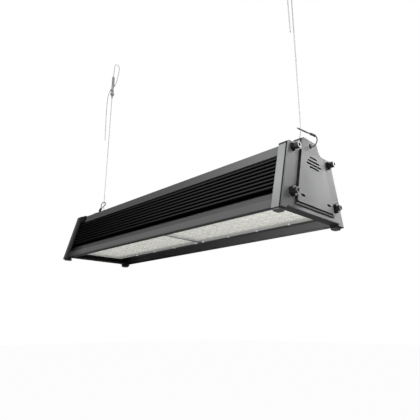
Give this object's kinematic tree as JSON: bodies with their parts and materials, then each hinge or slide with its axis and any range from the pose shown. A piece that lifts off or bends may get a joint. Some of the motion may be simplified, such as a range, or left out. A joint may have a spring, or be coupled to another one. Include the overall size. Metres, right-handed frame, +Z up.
{
  "type": "high bay light",
  "caption": "Linear high bay light with a finned aluminium housing, clear lens panels below, capped end frames and a wire rope hung from each end.",
  "frame": {"origin": "on the ground plane under the four foot pads, midway between the two ends", "axes": "+X along the light towards its near end in the picture, +Y towards its back side, +Z up along the ropes"},
  "size_m": [0.6296, 0.1714, 0.5645],
  "materials": {
    "housing_metal": "grey anodised extrusion, satin",
    "frame_metal": "light grey powder coat on a casting",
    "plate_metal": "grey powder coat, satin",
    "black_plastic": "black moulded plastic",
    "black_steel": "black coated steel, glossy",
    "gasket_rubber": "black silicone rubber",
    "pad_rubber": "black rubber, matt",
    "board_face": "white solder mask on an aluminium board",
    "led_yellow": "yellow phosphor under clear resin",
    "lens_clear": "clear moulded polycarbonate",
    "bright_steel": "bright zinc plated steel",
    "driver_case": "plain drawn aluminium case",
    "white_plastic": "white moulded nylon",
    "ferrule_metal": "dark crimped metal",
    "wire_rope": "fine galvanised wire rope",
    "gripper_metal": "nickel plated brass"
  },
  "bodies": {
    "root": {"housing": "housing_metal", "rail_plug": "black_plastic", "end_frame_near": "frame_metal", "end_frame_far": "frame_metal", "end_gasket_near": "gasket_rubber", "end_gasket_far": "gasket_rubber", "end_plate_near": "plate_metal", "end_plate_far": "plate_metal", "cover_spacer_near": "black_plastic", "cover_spacer_far": "black_plastic", "end_cover_near": "plate_metal", "end_cover_far": "plate_metal", "end_collars_near": "black_steel", "end_collars_far": "black_steel", "end_screws_near": "black_steel", "end_screws_far": "black_steel", "foot_pads": "pad_rubber", "led_board_near": "board_face", "led_board_far": "board_face", "leds_near": "led_yellow", "leds_far": "led_yellow", "lens_plate_near": "lens_clear", "lens_plate_far": "lens_clear", "panel_seal_near": "gasket_rubber", "panel_seal_far": "gasket_rubber", "panel_screws_near": "bright_steel", "panel_screws_far": "bright_steel", "driver": "driver_case", "driver_screws": "bright_steel", "terminal_block": "white_plastic", "gland_body": "black_plastic", "gland_locknut": "black_plastic", "gland_nut": "black_plastic", "gland_seal": "gasket_rubber", "ferrule_near": "ferrule_metal", "ferrule_far": "ferrule_metal", "rope_near": "wire_rope", "rope_far": "wire_rope", "rope_eye_near": "wire_rope", "rope_eye_far": "wire_rope", "gripper_near": "gripper_metal", "gripper_far": "gripper_metal", "gripper_collar_near": "gripper_metal", "gripper_collar_far": "gripper_metal", "rope_loop_near": "wire_rope", "rope_loop_far": "wire_rope", "rope_tail_near": "wire_rope", "rope_tail_far": "wire_rope"}
  },
  "joints": []
}
